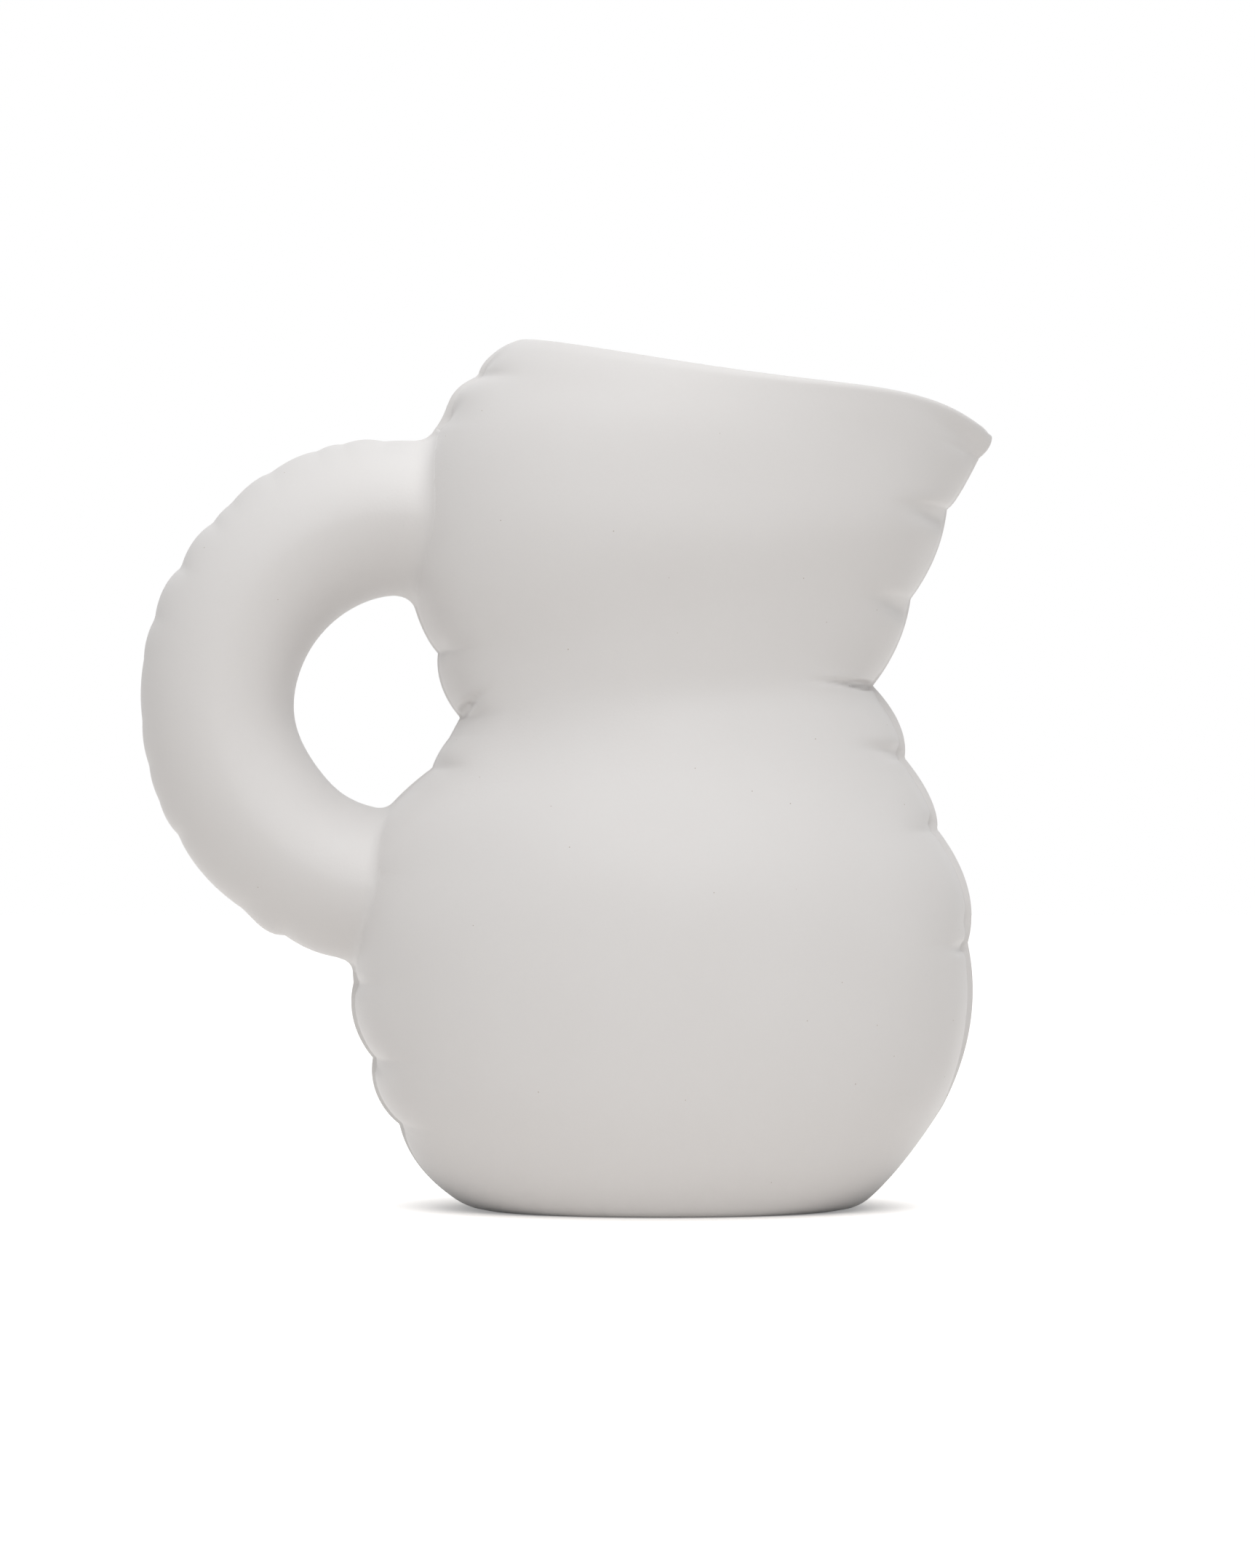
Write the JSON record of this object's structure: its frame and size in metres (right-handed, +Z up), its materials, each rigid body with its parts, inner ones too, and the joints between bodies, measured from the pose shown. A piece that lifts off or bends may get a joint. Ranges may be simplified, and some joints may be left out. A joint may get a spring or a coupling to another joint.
{
  "type": "puffed ceramic jug",
  "caption": "Open ceramic jug shaped like a puffed two-sheet pillow, with an hourglass body, puckered side seams, a slanting rim with a pouring lip and a fat hollow loop handle.",
  "frame": {"origin": "middle of the flat face that the jug rests on", "axes": "+X towards the pouring lip, +Y away from the viewer across the thickness, +Z up"},
  "size_m": [0.2347, 0.13, 0.2384],
  "materials": {
    "clay": "matt, unglazed, very fine grain",
    "slip": "matt, wiped smooth",
    "glaze": "satin clear glaze on the inside"
  },
  "bodies": {
    "root": {"front_body_sheet": "clay", "back_body_sheet": "clay", "base_slab": "clay", "handle_front_half": "clay", "handle_back_half": "clay", "upper_handle_joint": "slip", "lower_handle_joint": "slip", "inner_glaze": "glaze"}
  },
  "joints": []
}
